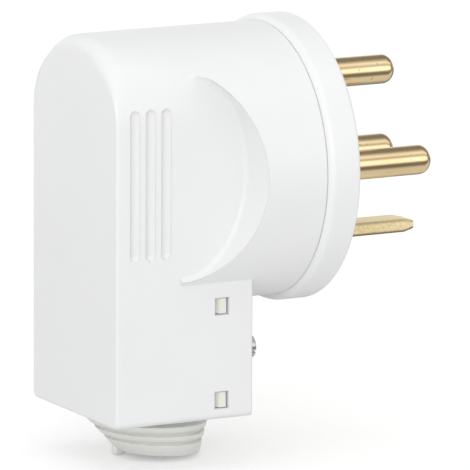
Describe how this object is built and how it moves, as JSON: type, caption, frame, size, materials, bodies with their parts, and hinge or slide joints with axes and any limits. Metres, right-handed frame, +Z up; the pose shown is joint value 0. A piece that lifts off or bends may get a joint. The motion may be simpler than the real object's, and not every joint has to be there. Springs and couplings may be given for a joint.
{
  "type": "angled three-phase plug",
  "caption": "Right-angle industrial plug with round contact pins, a flat earth blade, a hollow box body and a downward cord outlet with a rubber grommet.",
  "frame": {"origin": "centre of the mating face, where the disc's front plane meets the barrel's axis", "axes": "+X along the contact pins, away from the body; +Z up; the cord leaves along -Z"},
  "size_m": [0.095, 0.072, 0.1087],
  "materials": {
    "shell_white": "satin moulded thermoplastic",
    "carrier_white": "satin moulded thermoset",
    "cover_ivory": "matt moulded thermoplastic",
    "insulator_grey": "matt moulded insulator",
    "grommet_grey": "matt moulded rubber",
    "pin_brass": "drawn and polished",
    "terminal_brass": "machined",
    "screw_steel": "zinc plated"
  },
  "bodies": {
    "plug_body": {"housing": "shell_white", "pin_carrier": "carrier_white", "pin_retaining_plate": "insulator_grey", "terminal_barrier": "insulator_grey", "line_pin_left": "pin_brass", "line_pin_right": "pin_brass", "line_pin_top": "pin_brass", "earth_blade": "pin_brass", "plate_screws": "screw_steel", "fixing_screws": "screw_steel", "front_cover": "cover_ivory", "clamp_washers": "screw_steel", "cable_grommet": "grommet_grey", "terminal_block_left": "terminal_brass", "terminal_block_right": "terminal_brass", "terminal_block_top": "terminal_brass", "terminal_block_earth": "terminal_brass"},
    "wire_clamp_left": {"wire_clamp_left": "screw_steel"},
    "terminal_screw_left": {"terminal_screw_left": "screw_steel"},
    "wire_clamp_right": {"wire_clamp_right": "screw_steel"},
    "terminal_screw_right": {"terminal_screw_right": "screw_steel"},
    "wire_clamp_top": {"wire_clamp_top": "screw_steel"},
    "terminal_screw_top": {"terminal_screw_top": "screw_steel"},
    "wire_clamp_earth": {"wire_clamp_earth": "screw_steel"},
    "terminal_screw_earth": {"terminal_screw_earth": "screw_steel"},
    "clamp_bar": {"clamp_bar": "insulator_grey", "clamp_inserts": "terminal_brass"},
    "clamp_screw_left": {"clamp_screw_left": "screw_steel"},
    "clamp_screw_right": {"clamp_screw_right": "screw_steel"}
  },
  "joints": [
    {"name": "wire_clamp_left_slide", "type": "slide", "parent": "plug_body", "child": "wire_clamp_left", "axis": [1, 0, 0], "range_m": [0, 0.0027]},
    {"name": "terminal_screw_left_turn", "type": "hinge", "parent": "wire_clamp_left", "child": "terminal_screw_left", "pos_m": [-0.034, -0.0095, -0.0023], "axis": [1, 0, 0], "range_deg": [0, 1388.6]},
    {"name": "wire_clamp_right_slide", "type": "slide", "parent": "plug_body", "child": "wire_clamp_right", "axis": [1, 0, 0], "range_m": [0, 0.0027]},
    {"name": "terminal_screw_right_turn", "type": "hinge", "parent": "wire_clamp_right", "child": "terminal_screw_right", "pos_m": [-0.034, 0.0095, -0.0023], "axis": [1, 0, 0], "range_deg": [0, 1388.6]},
    {"name": "wire_clamp_top_slide", "type": "slide", "parent": "plug_body", "child": "wire_clamp_top", "axis": [1, 0, 0], "range_m": [0, 0.0027]},
    {"name": "terminal_screw_top_turn", "type": "hinge", "parent": "wire_clamp_top", "child": "terminal_screw_top", "pos_m": [-0.034, 0.0095, 0.01805], "axis": [1, 0, 0], "range_deg": [0, 1388.6]},
    {"name": "wire_clamp_earth_slide", "type": "slide", "parent": "plug_body", "child": "wire_clamp_earth", "axis": [1, 0, 0], "range_m": [0, 0.0027]},
    {"name": "terminal_screw_earth_turn", "type": "hinge", "parent": "wire_clamp_earth", "child": "terminal_screw_earth", "pos_m": [-0.034, 0, -0.0202], "axis": [1, 0, 0], "range_deg": [0, 1388.6]},
    {"name": "clamp_bar_slide", "type": "slide", "parent": "plug_body", "child": "clamp_bar", "axis": [1, 0, 0], "range_m": [0, 0.005]},
    {"name": "clamp_screw_left_turn", "type": "hinge", "parent": "plug_body", "child": "clamp_screw_left", "pos_m": [-0.022, -0.017, -0.044], "axis": [-1, 0, 0], "range_deg": [0, 3600]},
    {"name": "clamp_screw_right_turn", "type": "hinge", "parent": "plug_body", "child": "clamp_screw_right", "pos_m": [-0.022, 0.017, -0.044], "axis": [-1, 0, 0], "range_deg": [0, 3600]}
  ],
  "couplings": [
    {"joint": "terminal_screw_left_turn", "follows": "wire_clamp_left_slide", "rad_per_m": 8976},
    {"joint": "terminal_screw_right_turn", "follows": "wire_clamp_right_slide", "rad_per_m": 8976},
    {"joint": "terminal_screw_top_turn", "follows": "wire_clamp_top_slide", "rad_per_m": 8976},
    {"joint": "terminal_screw_earth_turn", "follows": "wire_clamp_earth_slide", "rad_per_m": 8976},
    {"joint": "clamp_screw_left_turn", "follows": "clamp_bar_slide", "rad_per_m": 12566},
    {"joint": "clamp_screw_right_turn", "follows": "clamp_bar_slide", "rad_per_m": 12566}
  ]
}
